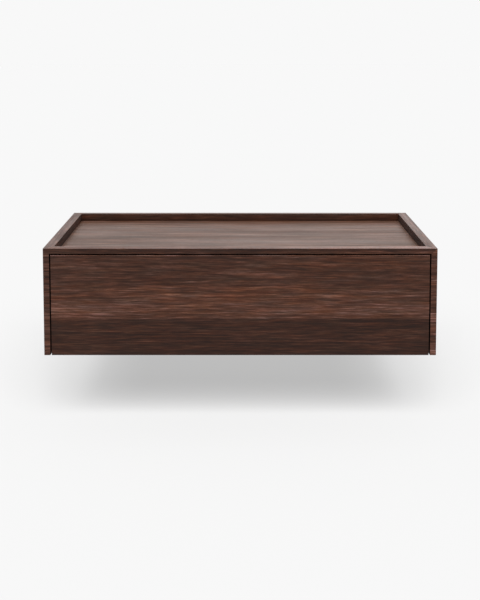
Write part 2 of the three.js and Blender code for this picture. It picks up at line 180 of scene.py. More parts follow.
class LatchSettings(bpy.types.PropertyGroup):
    housing: colour_setting("Housing", "Moulded grey plastic of the latch", srgb(140, 143, 146))
    cap: colour_setting("Tip", "Black plastic round the magnet", srgb(28, 28, 30))
    wire: length_setting("Spring wire", "Thickness of the spring's wire", 0.0006)
    turns: count_setting("Turns", "Turns of the spring", 12)
    corner: length_setting("Corner", "Corner radius of the flange and striker plate", 0.003)
    spring_bore: length_setting("Spring bore", "Radius of the plunger's bore", 0.0025)
    bore_depth: length_setting("Bore depth", "Depth of the plunger's bore", 0.03)
    magnet_share: share_setting("Magnet share", "Radius of the magnet, of the tip's radius", 0.56)


class StageSettings(bpy.types.PropertyGroup):
    ambient: number_setting("Ambient", "Strength of the soft light from all round", 0.55)
    top: number_setting("Top", "Strength of the wide soft lamp overhead", 1.05)
    top_up: number_setting("Top height", "How high the overhead lamp stands, in degrees", 70.0)
    top_size: number_setting("Top size", "Width of the overhead lamp in degrees", 64.0)
    fill: number_setting("Fill", "Strength of the soft lamp in front", 0.03)
    fill_up: number_setting("Fill height", "How high the front lamp stands, in degrees", 12.0)
    fill_size: number_setting("Fill size", "Width of the front lamp in degrees", 30.0)
    floor_drop: length_setting("Floor drop", "How far the floor is under the part's origin", 0.218)
    floor_reach: length_setting("Floor reach", "How far the floor goes each way", 20.0)
    floor_share: share_setting("Floor share", "Share of the floor's light that has shadows", 0.525)
    floor_lamps: number_setting("Floor lamps", "Strength of the lamps of the floor alone", 6.4)
    floor_up: number_setting("Floor lamps' height", "How high they stand, in degrees", 29.2)
    floor_size: number_setting("Floor lamps' size", "Width of each in degrees", 20.0)
    floor_aside: number_setting("Floor lamps' spread", "Angle between them in degrees", 14.0)
    lens: number_setting("Lens", "Focal length of the camera in millimetres", 81.39)


# Meshes


def put(name, mesh):
    """A new object at the origin for a finished mesh."""
    made = bpy.data.objects.new(name, mesh)
    bpy.context.scene.collection.objects.link(made)
    return made


def from_form(name, form, smooth=None):
    """An object from a bmesh, smooth-shaded up to an angle if one is given."""
    mesh = bpy.data.meshes.new(name)
    form.to_mesh(mesh)
    form.free()
    if smooth is not None:
        mesh.shade_smooth()
        mesh.set_sharp_from_angle(angle=smooth)
    return put(name, mesh)


def settle(made, body, slot, *nodes):
    """Sets a finished piece on its body and in place of its nodes; its slot is not used."""
    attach(made, body)
    if nodes:
        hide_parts(*nodes)


def merged_copy(node):
    """A node's shape as a clean bmesh: corners merged, flat faces whole."""
    form = bmesh.new()
    form.from_mesh(frame["nodes"][node].data)
    bmesh.ops.remove_doubles(form, verts=form.verts, dist=WELD)
    bmesh.ops.dissolve_limit(
        form, angle_limit=FLAT, use_dissolve_boundaries=False, verts=form.verts, edges=form.edges
    )
    form.normal_update()
    return form


def is_corner(edge, convex):
    """Whether an edge is a sharp outer corner, or a sharp inner one."""
    if len(edge.link_faces) != 2 or edge.calc_face_angle(0) < CORNER:
        return False
    return edge.is_convex == convex


def soften(form, edges, width, segments):
    """Rounds edges of a form."""
    bmesh.ops.bevel(
        form,
        geom=list(edges),
        offset=width,
        segments=segments,
        profile=0.5,
        affect="EDGES",
        clamp_overlap=True,
    )
    form.normal_update()


def is_square(edge):
    """Whether an edge runs along one of the axes and so do both its faces' normals."""
    along = (edge.verts[0].co - edge.verts[1].co).normalized()
    across = [face.normal for face in edge.link_faces]
    return all(max(abs(part) for part in way) > EXACT for way in (along, *across))


def painted_light(made, level):
    """Marks each face with the stops of painted light and shade by which it differs from its board.
    """
    mark = made.data.attributes.new("painted_light", "FLOAT", "FACE")
    mark.data.foreach_set("value", [level(face) for face in made.data.polygons])


def is_arris(face):
    """Whether a face is part of a softened edge."""
    return max(abs(part) for part in face.normal) < STRAIGHT


def board(node, finishes, keep=lambda edge: False):
    """A board from the part's own shape, its long arrises softened except those kept sharp."""
    form = merged_copy(node)
    corners = [edge for edge in form.edges if is_corner(edge, True) and is_square(edge)]
    arrises = [e for e in corners if e.calc_length() > SHORTEST_ARRIS and not keep(e)]
    soften(form, arrises, bpy.context.scene.nightstand_wood.arris, 2)
    return give(from_form(f"{node}_board", form), *finishes)


def give(made, *finishes):
    """Gives a piece its materials: the first all over, and each later one where its test says."""
    for material, _ in finishes:
        made.data.materials.append(material)
    for face in made.data.polygons:
        for index, (_, test) in enumerate(finishes):
            if test is not None and test(face):
                face.material_index = index
    return made


def turned(name, outline, sides):
    """A closed shape turned about the Y axis through the origin, from [radius, y] points."""
    form = bmesh.new()
    rings = []
    for radius, along in outline:
        if radius == 0:
            rings.append([form.verts.new((0, along, 0))])
            continue
        angles = [2 * math.pi * step / sides for step in range(sides)]
        rings.append(
            [form.verts.new((radius * math.cos(a), along, radius * math.sin(a))) for a in angles]
        )
    for first, second in zip(rings, rings[1:]):
        for step in range(sides):
            after = (step + 1) % sides
            corners = [first[step % len(first)], first[after % len(first)]]
            corners += [second[after % len(second)], second[step % len(second)]]
            form.faces.new(list(dict.fromkeys(corners)))
    bmesh.ops.recalc_face_normals(form, faces=form.faces)
    return from_form(name, form, SMOOTH)


def apply_modifiers(made):
    """Makes what a piece's modifiers show its own mesh."""
    bpy.context.view_layer.update()
    shown = made.evaluated_get(bpy.context.evaluated_depsgraph_get())
    mesh = bpy.data.meshes.new_from_object(shown)
    made.modifiers.clear()
    if not mesh.polygons:
        raise RuntimeError(f"{made.name} came out empty")
    made.data = mesh


def moved(made, x, y, z):
    """Moves a piece by changing its mesh, so that its object stays at the origin."""
    made.data.transform(Matrix.Translation((x, y, z)))


# Node trees


class Tree:
    """Adds nodes to one tree, each joined to what feeds it."""

    def __init__(self, tree):
        self.tree = tree

    def add(self, kind, inputs=None, **settings):
        node = self.tree.nodes.new(kind)
        for key, value in settings.items():
            setattr(node, key, value)
        for key, value in (inputs or {}).items():
            self.feed(node.inputs[key], value)
        return node

    def feed(self, socket, value):
        if isinstance(value, bpy.types.NodeSocket):
            self.tree.links.new(value, socket)
        else:
            socket.default_value = value

    def sum(self, kind, first, second, third=None):
        """One step of arithmetic on numbers."""
        node = self.add("ShaderNodeMath", {0: first, 1: second}, operation=kind)
        if third is not None:
            self.feed(node.inputs[2], third)
        return node.outputs[0]

    def vector(self, kind, first, second, third=None):
        """One step of arithmetic on vectors."""
        node = self.add("ShaderNodeVectorMath", {0: first, 1: second}, operation=kind)
        if third is not None:
            self.feed(node.inputs[2], third)
        return node.outputs[0]

    def noise(self, place, scale, detail=2.0, roughness=0.5, distortion=0.0):
        """Noise at a place that is stretched by its own scale along each axis."""
        node = self.add(
            "ShaderNodeTexNoise",
            {
                "Vector": self.vector("MULTIPLY", place, scale),
                "Scale": 1.0,
                "Detail": detail,
                "Roughness": roughness,
                "Distortion": distortion,
            },
        )
        return node.outputs["Fac"]

    def spread(self, value, low, high, bottom=0.0, top=1.0):
        """A number from one range spread over another, held at its ends."""
        node = self.add(
            "ShaderNodeMapRange",
            {"Value": value, "From Min": low, "From Max": high, "To Min": bottom, "To Max": top},
        )
        return node.outputs["Result"]

    def mix(self, share, first, second):
        """Two colours mixed by a share."""
        node = self.add("ShaderNodeMix", data_type="RGBA")
        self.feed(node.inputs["Factor"], share)
        sockets = [socket for socket in node.inputs if socket.type == "RGBA"]
        self.feed(sockets[0], first)
        self.feed(sockets[1], second)
        return next(socket for socket in node.outputs if socket.type == "RGBA")

    def ramp(self, value, stops):
        """Colours along a ramp, from (place, colour) stops."""
        node = self.add("ShaderNodeValToRGB", {"Fac": value})
        elements = node.color_ramp.elements
        while len(elements) < len(stops):
            elements.new(0.5)
        for element, (place, colour) in zip(elements, stops):
            element.position = place
            element.color = (*colour, 1.0)
        return node.outputs["Color"]

    def bump(self, height, distance, strength):
        inputs = {"Height": height, "Distance": distance, "Strength": strength}
        return self.add("ShaderNodeBump", inputs).outputs["Normal"]

    def xyz(self, x, y, z):
        """A vector from three numbers."""
        return self.add("ShaderNodeCombineXYZ", {"X": x, "Y": y, "Z": z}).outputs[0]

    def part(self, vector, axis):
        """One part of a vector, named by its axis."""
        return self.add("ShaderNodeSeparateXYZ", {"Vector": vector}).outputs[axis]


def new_material(name):
    """An empty material and the tree to build it in."""
    material = bpy.data.materials.new(name)
    material.use_nodes = True
    material.node_tree.nodes.clear()
    return material, Tree(material.node_tree)


def surface(tree, **inputs):
    """Gives a material its shader, whose inputs are named by words joined with underscores."""
    shader = tree.add("ShaderNodeBsdfPrincipled")
    names = {socket.name.lower().replace(" ", "_"): socket for socket in shader.inputs}
    for key, value in inputs.items():
        tree.feed(names[key], value)
    tree.add("ShaderNodeOutputMaterial", {"Surface": shader.outputs["BSDF"]})


def object_place(tree):
    return tree.add("ShaderNodeTexCoord").outputs["Object"]


def grain_place(tree, along, **mapping):
    """Places on a piece, turned so that a grain along one of its axes runs along X."""
    inputs = {"Vector": object_place(tree), "Rotation": TURN_TO_GRAIN[along], **mapping}
    return tree.add("ShaderNodeMapping", inputs).outputs["Vector"]


def opaque(colour):
    return (*colour, 1.0)


def shaded(colour, share):
    """A colour made darker or lighter, as a node takes it."""
    return opaque(part * share for part in colour)


# Finishes

TURN_TO_GRAIN = {
    "x": (0.0, 0.0, 0.0),
    "y": (0.0, 0.0, -math.pi / 2),
    "z": (0.0, math.pi / 2, 0.0),
}

# Layers of the walnut's figure: scale along and across the grain, detail, and stops of light
FIGURE = (
    ((1.2, 24.0, 24.0), 1.0, 0.8),
    ((4.5, 36.0, 36.0), 2.0, 1.8),
    ((12.0, 280.0, 280.0), 3.0, 3.8),
    ((34.0, 640.0, 640.0), 2.0, 4.7),
    ((90.0, 2600.0, 2600.0), 2.0, 1.2),
)


def walnut_figure():
    """The figure of walnut as a node group: grain along X, growth layers about the X axis.
    Light and dark are in stops, and the hue wanders apart from them."""
    name = "walnut figure"
    if name in bpy.data.node_groups:
        return bpy.data.node_groups[name]
    group = bpy.data.node_groups.new(name, "ShaderNodeTree")
    sockets = {
        "INPUT": {
            "Place": "Vector",
            "Tone": "Float",
            "Flecks": "Float",
            "Strength": "Float",
            "Ground": "Color",
            "Fleck": "Color",
        },
        "OUTPUT": {"Colour": "Color", "Height": "Float", "Dullness": "Float"},
    }
    for way, names in sockets.items():
        for label, kind in names.items():
            group.interface.new_socket(label, in_out=way, socket_type=f"NodeSocket{kind}")
    tree = Tree(group)
    given = tree.add("NodeGroupInput").outputs
    # The grain sways slowly along the board
    sway = tree.noise(given["Place"], (2.0, 9.0, 9.0)).node.outputs["Color"]
    sway = tree.vector("MULTIPLY_ADD", sway, (0.0, 0.016, 0.016), (0.0, -0.008, -0.008))
    place = tree.vector("ADD", given["Place"], sway)
    across = tree.vector("MULTIPLY", place, (0.0, 1.0, 1.0))
    ring_place = tree.add("ShaderNodeVectorMath", {0: across}, operation="LENGTH").outputs["Value"]
    rings = tree.add(
        "ShaderNodeTexNoise",
        {"W": ring_place, "Scale": 260.0, "Detail": 3.0, "Roughness": 0.6},
        noise_dimensions="1D",
    ).outputs["Fac"]
    layers = [(rings, 1.5)]
    layers += [(tree.noise(place, scale, detail, 0.6), stops) for scale, detail, stops in FIGURE]
    figure = 0.0
    for value, stops in layers:
        figure = tree.sum("ADD", figure, tree.sum("MULTIPLY_ADD", value, stops, -stops / 2))
    pores = tree.spread(tree.noise(place, (260.0, 4200.0, 4200.0), 1.0), 0.6, 0.68)
    stops = tree.sum("MULTIPLY_ADD", figure, given["Strength"], given["Tone"])
    stops = tree.sum("SUBTRACT", stops, tree.sum("MULTIPLY", pores, 0.7))
    # Dark streaks are richer in colour than pale ones
    shares = (0.8, 1.0, 1.25)
    light = tree.xyz(
        *(tree.sum("POWER", 2.0, tree.sum("MULTIPLY", stops, share)) for share in shares)
    )
    hue = tree.noise(place, (18.0, 150.0, 150.0))
    hues = hue.node.outputs["Color"]
    wander = tree.vector("MULTIPLY_ADD", hues, (0.7, 0.0, 0.4), (0.65, 1.0, 1.1))
    wander = tree.vector("MULTIPLY_ADD", hue, (0.0, 0.0, -0.6), wander)
    cluster = tree.noise(place, (2.4, 18.0, 18.0), 1.0)
    fleck = tree.noise(place, (16.0, 130.0, 130.0), 3.0, 0.6)
    fleck = tree.spread(tree.sum("MULTIPLY_ADD", cluster, 0.8, fleck), 0.95, 1.12)
    ground = tree.mix(tree.sum("MULTIPLY", fleck, given["Flecks"]), given["Ground"], given["Fleck"])
    lit = tree.vector("MULTIPLY", tree.vector("MULTIPLY", ground, wander), light)
    bands, streaks, fibres = layers[2][0], layers[3][0], layers[-1][0]
    dull = tree.sum("MULTIPLY_ADD", bands, -1.6, 1.3)
    dull = tree.sum("ADD", dull, tree.sum("MULTIPLY_ADD", streaks, -0.6, 0.3))
    tree.add(
        "NodeGroupOutput",
        {
            "Colour": lit,
            "Height": tree.sum("SUBTRACT", fibres, tree.sum("MULTIPLY", pores, 0.8)),
            "Dullness": tree.sum("MULTIPLY_ADD", pores, 0.3, dull),
        },
    )
    return group


def walnut(
    name,
    along,
    pith,
    tone=0.0,
    flecks=0.3,
    bands=None,
    across="Z",
    figure=1.0,
    size=1.0,
    dull=0.0,
    ground=None,
):
    """Walnut under a satin coat. Grain runs along an axis, and the pith is where layers centre.
    Tone is in stops of light, and bands are (place, stops) across the part that change it.
    Size is how many times as large as usual the figure is."""
    wood = bpy.context.scene.nightstand_wood
    ground = wood.walnut if ground is None else ground
    material, tree = new_material(name)
    # Painted highlights, sheen and shade, marked on each face in stops
    painted_light = tree.add("ShaderNodeAttribute", attribute_name="painted_light").outputs["Fac"]
    level = tree.sum("ADD", painted_light, tone)
    if bands:
        # The bands waver, and a ramp holds stops from -4 to 4 as shares of its white
        place = object_place(tree)
        wavy = tree.noise(place, (5.0, 0.0, 9.0), 2.0)
        reach = tree.sum("MULTIPLY_ADD", wavy, 0.016, -0.008)
        reach = tree.sum("ADD", tree.part(place, across), reach)
        low, high = bands[0][0], bands[-1][0]
        stops = [((at - low) / (high - low), (change / 8 + 0.5,) * 3) for at, change in bands]
        ramped = tree.part(tree.ramp(tree.spread(reach, low, high), stops), "X")
        level = tree.sum("ADD", level, tree.sum("MULTIPLY_ADD", ramped, 8.0, -4.0))
    group = tree.add("ShaderNodeGroup", node_tree=walnut_figure())
    values = {
        "Place": grain_place(tree, along, Location=pith, Scale=(1 / size, 1 / size, 1 / size)),
        "Tone": level,
        "Flecks": flecks,
        "Strength": wood.walnut_figure * figure,
        "Ground": opaque(ground),
        "Fleck": opaque(wood.walnut_fleck),
    }
    for key, value in values.items():
        tree.feed(group.inputs[key], value)
    rough = wood.walnut_roughness + dull
    surface(
        tree,
        base_color=group.outputs["Colour"],
        roughness=tree.spread(group.outputs["Dullness"], 0.0, 1.0, rough - 0.12, rough + 0.14),
        specular_ior_level=0.2,
        normal=tree.bump(group.outputs["Height"], 0.00012, 0.6),
    )
    return material


def birch_face(name, along):
    """Pale birch veneer with faint, wandering grain along an axis."""
    wood = bpy.context.scene.nightstand_wood
    material, tree = new_material(name)
    place = grain_place(tree, along)
    broad = tree.noise(place, (3.0, 22.0, 22.0), 3.0, 0.6, 0.4)
    streaks = tree.noise(place, (14.0, 330.0, 330.0), 3.0, 0.6)
    fibres = tree.noise(place, (160.0, 3000.0, 3000.0), 2.0)
    share = tree.sum("ADD", tree.sum("MULTIPLY", broad, 0.5), tree.sum("MULTIPLY", streaks, 0.5))
    share = tree.spread(share, 0.32, 0.66)
    colour = tree.mix(share, opaque(wood.birch), shaded(wood.birch, 0.72))
    flecks = tree.spread(tree.noise(place, (120.0, 1900.0, 1900.0), 1.0), 0.66, 0.74, 0.0, 0.45)
    surface(
        tree,
        base_color=tree.mix(flecks, colour, opaque(wood.birch_line)),
        roughness=tree.spread(streaks, 0.2, 0.8, 0.5, 0.64),
        normal=tree.bump(fibres, 0.0001, 0.5),
    )
    return material


def ply_edge(name, across, low, thickness, plies):
    """The cut edge of birch plywood: its plies lie across one axis, from a low face up."""
    wood = bpy.context.scene.nightstand_wood
    material, tree = new_material(name)
    place = object_place(tree)
    rough = tree.noise(place, (260.0, 260.0, 260.0), 3.0, 0.7)
    rough = tree.sum("MULTIPLY_ADD", rough, 0.0003, -low - 0.00015)
    depth = tree.sum("ADD", tree.part(place, across.upper()), rough)
    phase = tree.sum("MULTIPLY", depth, math.pi * plies / thickness)
    layer = tree.spread(tree.sum("SINE", phase, 0.0), -0.35, 0.35)
    fibres = tree.noise(place, (900.0, 900.0, 900.0), 2.0, 0.7)
    pale = tree.mix(fibres, opaque(wood.birch), shaded(wood.birch, 0.78))
    dark = tree.mix(fibres, opaque(wood.birch_line), shaded(wood.birch_line, 1.4))
    surface(
        tree,
        base_color=tree.mix(layer, dark, pale),
        roughness=tree.spread(fibres, 0.2, 0.8, 0.55, 0.75),
        normal=tree.bump(tree.sum("ADD", fibres, layer), 0.0001, 0.6),
    )
    return material


def zinc_plate(name, along):
    """Zinc-plated sheet: drawn lines along an axis under a faintly clouded plating."""
    metal = bpy.context.scene.nightstand_metal
    material, tree = new_material(name)
    place = grain_place(tree, along)
    lines = tree.noise(place, (24.0, 2400.0, 2400.0), 2.0, 0.6)
    clouds = tree.noise(place, (60.0, 60.0, 60.0), 3.0, 0.6)
    tinted = tuple(part * share for part, share in zip(metal.zinc, (0.86, 0.9, 0.97)))
    surface(
        tree,
        base_color=tree.mix(tree.spread(clouds, 0.35, 0.65), opaque(metal.zinc), opaque(tinted)),
        metallic=1.0,
        roughness=tree.spread(tree.sum("ADD", lines, clouds), 0.7, 1.3, 0.26, 0.44),
        normal=tree.bump(lines, 0.00004, 0.4),
    )
    return material


def bright_steel(name):
    """Bright bare steel with fine lines and small stains."""
    metal = bpy.context.scene.nightstand_metal
    material, tree = new_material(name)
    place = object_place(tree)
    lines = tree.noise(place, (900.0, 60.0, 900.0), 2.0)
    stains = tree.noise(place, (150.0, 150.0, 150.0), 3.0, 0.6)
    share = tree.spread(stains, 0.45, 0.7)
    surface(
        tree,
        base_color=tree.mix(share, opaque(metal.steel), shaded(metal.steel, 0.84)),
        metallic=1.0,
        roughness=tree.spread(tree.sum("ADD", lines, stains), 0.7, 1.3, 0.14, 0.3),
        normal=tree.bump(lines, 0.00003, 0.3),
    )
    return material


def moulded_plastic(name, colour, roughness):
    """Moulded plastic with a fine spark-eroded texture and faint flow marks."""
    material, tree = new_material(name)
    place = object_place(tree)
    grain = tree.noise(place, (2600.0, 2600.0, 2600.0), 2.0, 0.6)
    flow = tree.noise(place, (70.0, 70.0, 70.0), 3.0)
    surface(
        tree,
        base_color=tree.mix(tree.spread(flow, 0.3, 0.7), opaque(colour), shaded(colour, 1.16)),
        roughness=tree.spread(grain, 0.2, 0.8, roughness - 0.06, roughness + 0.08),
        normal=tree.bump(grain, 0.00005, 0.5),
    )
    return material


# Geometry Nodes


class ShapeTree(Tree):
    """A Geometry Nodes tree: named inputs after its geometry, and the steps that shapes take."""

    def __init__(self, name, inputs):
        group = bpy.data.node_groups.new(name, "GeometryNodeTree")
        for label, kind in {"Geometry": "Geometry", **inputs}.items():
            group.interface.new_socket(label, in_out="INPUT", socket_type=f"NodeSocket{kind}")
        group.interface.new_socket("Geometry", in_out="OUTPUT", socket_type="NodeSocketGeometry")
        super().__init__(group)
        self.given = self.add("NodeGroupInput").outputs

    def shape(self, kind, inputs, output="Mesh", **settings):
        """What one node makes."""
        return self.add(kind, inputs, **settings).outputs[output]

    def placed(self, shape, by, turn=(0.0, 0.0, 0.0)):
        inputs = {"Geometry": shape, "Translation": by, "Rotation": turn}
        return self.shape("GeometryNodeTransform", inputs, "Geometry")

    def copies(self, points, shape, **inputs):
        """A shape at each point."""
        inputs = {"Points": points, "Instance": shape, **inputs}
        return self.shape("GeometryNodeInstanceOnPoints", inputs, "Instances")

    def swept(self, curve, radius, sides):
        """A rod along a curve, closed at both ends."""
        inputs = {"Resolution": sides, "Radius": radius}
        ring = self.shape("GeometryNodeCurvePrimitiveCircle", inputs, "Curve")
        inputs = {"Curve": curve, "Profile Curve": ring, "Fill Caps": True}
        return self.shape("GeometryNodeCurveToMesh", inputs)

    def joined(self, *shapes):
        join = self.add("GeometryNodeJoinGeometry")
        for shape in shapes:
            self.tree.links.new(shape, join.inputs["Geometry"])
        return join.outputs["Geometry"]

    def made_real(self, shape):
        return self.shape("GeometryNodeRealizeInstances", {"Geometry": shape}, "Geometry")

    def coated(self, shape, material):
        inputs = {"Geometry": shape, "Material": material}
        return self.shape("GeometryNodeSetMaterial", inputs, "Geometry")

    def finish(self, shape):
        self.add("NodeGroupOutput", {"Geometry": shape})
        return self


def run_tree(name, tree, mesh, values):
    """What a Geometry Nodes tree makes from a mesh, as an object with a plain mesh."""
    holder = put(f"{name}_maker", mesh)
    modifier = holder.modifiers.new("make", "NODES")
    modifier.node_group = tree.tree
    for item in tree.tree.interface.items_tree:
        if item.item_type == "SOCKET" and item.in_out == "INPUT" and item.name in values:
            modifier[item.identifier] = values[item.name]
    bpy.context.view_layer.update()
    shown = holder.evaluated_get(bpy.context.evaluated_depsgraph_get())
    made = bpy.data.meshes.new_from_object(shown)
    holder.modifiers.clear()
    bpy.data.objects.remove(holder)
    if not made.polygons:
        raise RuntimeError(f"{name} came out empty")
    made.name = name
    return put(name, made)


def screw_tree():
    """Countersunk screws with a cross recess and a thread, one at each point.
    A point carries the way that its screw goes and the screw's length."""
    names = ("Head radius", "Shank radius", "Core radius", "Pitch", "Recess width", "Recess depth")
    tree = ShapeTree("countersunk screws", {**dict.fromkeys(names, "Float"), "Metal": "Material"})
    head, shank, core, pitch, recess, recess_depth = (tree.given[name] for name in names)
    # Head: its face is at height 0 and the shank hangs below
    taper = tree.sum("SUBTRACT", head, shank)
    cone = {"Vertices": 32, "Radius Top": head, "Radius Bottom": shank, "Depth": taper}
    cone = tree.shape("GeometryNodeMeshCone", cone)
    cone = tree.placed(cone, tree.xyz(0.0, 0.0, tree.sum("MULTIPLY", taper, -1.0)))
    # One arm of the recess is a little shallower, so that the floors of the two don't coincide
    recess_share, shallow_share = 1.15, 0.96
    reach = tree.sum("MULTIPLY", head, recess_share)
    depth = tree.sum("MULTIPLY", recess_depth, 2.0)
    shallow = tree.sum("MULTIPLY", depth, shallow_share)
    cut = tree.add("GeometryNodeMeshBoolean", {"Mesh 1": cone}, operation="DIFFERENCE")
    for size in (tree.xyz(reach, recess, depth), tree.xyz(recess, reach, shallow)):
        arm = tree.shape("GeometryNodeMeshCube", {"Size": size})
        tree.tree.links.new(arm, cut.inputs["Mesh 2"])
    # Shank and thread: a unit long, and stretched to each screw's length
    tip_share, neck_share, thread_share, turns = 0.3, 0.14, 0.78, 9.0
    tip = tree.sum("MULTIPLY", core, tip_share)
    rod = {"Vertices": 16, "Radius Top": core, "Radius Bottom": tip, "Depth": 1.0}
    rod = tree.placed(tree.shape("GeometryNodeMeshCone", rod), (0.0, 0.0, -1.0))
    # The thread winds down from the neck and gets narrower
    end_share, ridge_share = 0.75, 0.34
    spiral = {
        "Resolution": 16,
        "Rotations": turns,
        "Start Radius": core,
        "End Radius": tree.sum("MULTIPLY", core, end_share),
        "Height": thread_share,
    }
    spiral = tree.shape("GeometryNodeCurveSpiral", spiral, "Curve")
    spiral = tree.placed(spiral, (0.0, 0.0, -neck_share), (math.pi, 0.0, 0.0))
    thread = tree.swept(spiral, tree.sum("MULTIPLY", pitch, ridge_share), 3)
    # Each screw is turned to its way and stretched to its length
    length, way = (
        tree.shape("GeometryNodeInputNamedAttribute", {"Name": name}, "Attribute", data_type=kind)
        for name, kind in (("length", "FLOAT"), ("way", "FLOAT_VECTOR"))
    )
    turn = tree.shape("FunctionNodeAlignRotationToVector", {"Vector": way}, "Rotation", axis="Z")
    turn = {"Rotation": turn, "Rotate By": (math.pi, 0.0, 0.0)}
    turn = tree.shape("FunctionNodeRotateRotation", turn, "Rotation", rotation_space="LOCAL")
    points, stretch = tree.given["Geometry"], tree.xyz(1.0, 1.0, length)
    heads = tree.copies(points, cut.outputs["Mesh"], Rotation=turn)
    rods = tree.copies(points, rod, Rotation=turn, Scale=stretch)
    threads = tree.copies(points, thread, Rotation=turn, Scale=stretch)
    whole = tree.made_real(tree.joined(heads, rods, threads))
    return tree.finish(tree.coated(whole, tree.given["Metal"]))


def ball_tree():
    """Two rows of balls beside a cage: the cage's mesh comes in, and balls are added."""
    inputs = {"Balls": "Int", "Radius": "Float", "First": "Vector", "Step": "Vector"}
    inputs.update({"Rise": "Float", "Sheet": "Material", "Metal": "Material"})
    tree = ShapeTree("rows of balls", inputs)
    given = tree.given
    ball = {"Segments": 16, "Rings": 10, "Radius": given["Radius"]}
    ball = {"Geometry": tree.shape("GeometryNodeMeshUVSphere", ball), "Shade Smooth": True}
    ball = tree.shape("GeometryNodeSetShadeSmooth", ball, "Geometry")
    rows = []
    for sign in (-1.0, 1.0):
        lift = tree.xyz(0.0, 0.0, tree.sum("MULTIPLY", given["Rise"], sign))
        start = tree.vector("ADD", given["First"], lift)
        line = {"Count": given["Balls"], "Start Location": start, "Offset": given["Step"]}
        line = tree.shape("GeometryNodeMeshLine", line, mode="OFFSET")
        rows.append(tree.copies(line, ball))
    balls = tree.coated(tree.made_real(tree.joined(*rows)), given["Metal"])
    return tree.finish(tree.joined(tree.coated(given["Geometry"], given["Sheet"]), balls))


def spring_tree():
    """A compression spring of round wire along Z, with its ends capped."""
    names = ("Turns", "Coil radius", "Wire radius", "Length")
    tree = ShapeTree("compression spring", {**dict.fromkeys(names, "Float"), "Metal": "Material"})
    turns, coil, wire, length = (tree.given[name] for name in names)
    spiral = {"Resolution": 24, "Rotations": turns, "Height": length}
    spiral.update({"Start Radius": coil, "End Radius": coil})
    spiral = tree.shape("GeometryNodeCurveSpiral", spiral, "Curve")
    rod = tree.made_real(tree.swept(spiral, wire, 10))
    return tree.finish(tree.coated(rod, tree.given["Metal"]))


# Operators


class MakeCarcass(bpy.types.Operator):
    """Side panels, rails, tray, bottom and back, in walnut"""

    bl_idname = "nightstand.make_carcass"
    bl_label = "Make Carcass"

    def execute(self, context):
        for side in SIDES:
            self.side_panel(side)
        # The front rail is darker in its middle than at the sides
        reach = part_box("front_rail")[1].x
        rail_bands = ((-reach, 0.0), (0.0, -0.8), (reach, 0.0))
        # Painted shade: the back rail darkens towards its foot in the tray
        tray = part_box("tray_panel")[1].z
        painted_foot_shade = ((tray, -1.0), (tray + 0.006, 0.0))
        wood = context.scene.nightstand_wood
        boards = {
            "front_rail": walnut(
                "walnut front rail",
                "x",
                (0.2, 0.46, 0.0),
                -0.1,
                bands=rail_bands,
                across="X",
                figure=1.4,
            ),
            # The back rail's tone of -0.3 is painted shade on its face in the tray
            "back_rail": walnut("walnut back rail", "x", (0.7, 0.05, -0.2), -0.3, bands=painted_foot_shade),
            # The tray's paler ground and its tone of 0.48 are painted sheen
            "tray_panel": walnut(
                "walnut tray", "x", (1.3, 0.25, 0.3), 0.48, size=2.0, ground=wood.walnut_tray
            ),
            "bottom_panel": walnut("walnut bottom", "x", (2.1, 0.1, 0.4), dull=0.25),
            "back_panel": walnut("walnut back", "x", (2.9, 0.2, 0.1)),
        }
        for node, material in boards.items():
            made = board(node, [(material, None)], at_joint)
            painted_light(made, rim_painted_light)
            settle(made, "carcass", "walnut", node)
        return {"FINISHED"}

    def side_panel(self, side):
        """A side, with its own tone on the stile, and painted shade on the wall inside the tray."""
        node = f"{side}_side_panel"
        # The last number of each is painted shade on the wall inside the tray
        tones = {"left": (0.4, -0.05, 0.3, -0.9), "right": (1.9, 0.5, 0.7, -1.4)}
        shift, tone, flecks, wall_painted_shade = tones[side]
        pith = (shift, 0.12, 0.25)
        face = walnut(f"walnut {side} side", "y", pith)
        edge = walnut(f"walnut {side} stile", "x", (shift, 0.3, 0.2), tone, flecks, figure=1.5)
        wall = walnut(f"walnut {side} inner wall", "y", pith, wall_painted_shade, dull=0.45)
        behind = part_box(node)[0].y + 2 * bpy.context.scene.nightstand_wood.arris

        def on_front(polygon):
            return polygon.normal.y < -FACING and polygon.center.y < behind

        made = board(node, [(face, None), (edge, on_front), (wall, faces_inwards)], at_joint)
        painted_light(made, side_painted_light)
        settle(made, "carcass", "walnut", node)


def rim_painted_light(face):
    """Carcass faces: painted sheen on top of the rim, painted shade under the rail over the drawer
    front, painted highlights on the arrises.
    """
    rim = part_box("left_side_panel")[1].z
    front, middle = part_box("drawer_front"), face.center
    if is_arris(face):
        return ARRIS_PAINTED_HIGHLIGHT
    if face.normal.z < -STRAIGHT and middle.y < front[1].y and middle.z > 0:
        return REVEAL_PAINTED_SHADE
    if face.normal.z > STRAIGHT and middle.z > rim - TOUCH:
        return FRONT_RIM_TOP_PAINTED_SHEEN if middle.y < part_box("tray_panel")[0].y else SIDE_RIM_TOP_PAINTED_SHEEN
    return 0.0


def side_painted_light(face):
    """Side panels: as the rest of the rim, with painted shade in the reveal beside the drawer
    front.
    """
    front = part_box("drawer_front")
    beside = abs(face.center.x) > front[1].x and face.center.y < front[1].y
    if faces_inwards(face) and not is_arris(face) and beside:
        return REVEAL_PAINTED_SHADE
    return rim_painted_light(face)


def faces_inwards(face):
    """Whether a face of a side panel looks at the other side."""
    margin = 0.1
    return face.normal.x * face.center.x < -margin


def at_joint(edge):
    """Whether an edge of a carcass board lies against a side panel, where it stays sharp."""
    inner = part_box("back_rail")[1].x
    first, second = (vertex.co for vertex in edge.verts)
    if any(abs(abs(end.x) - inner) > TOUCH for end in (first, second)):
        return False
    along_tray = abs(first.z - second.z) < TOUCH and abs(first.y - second.y) > LONG_FOLD
    return not along_tray


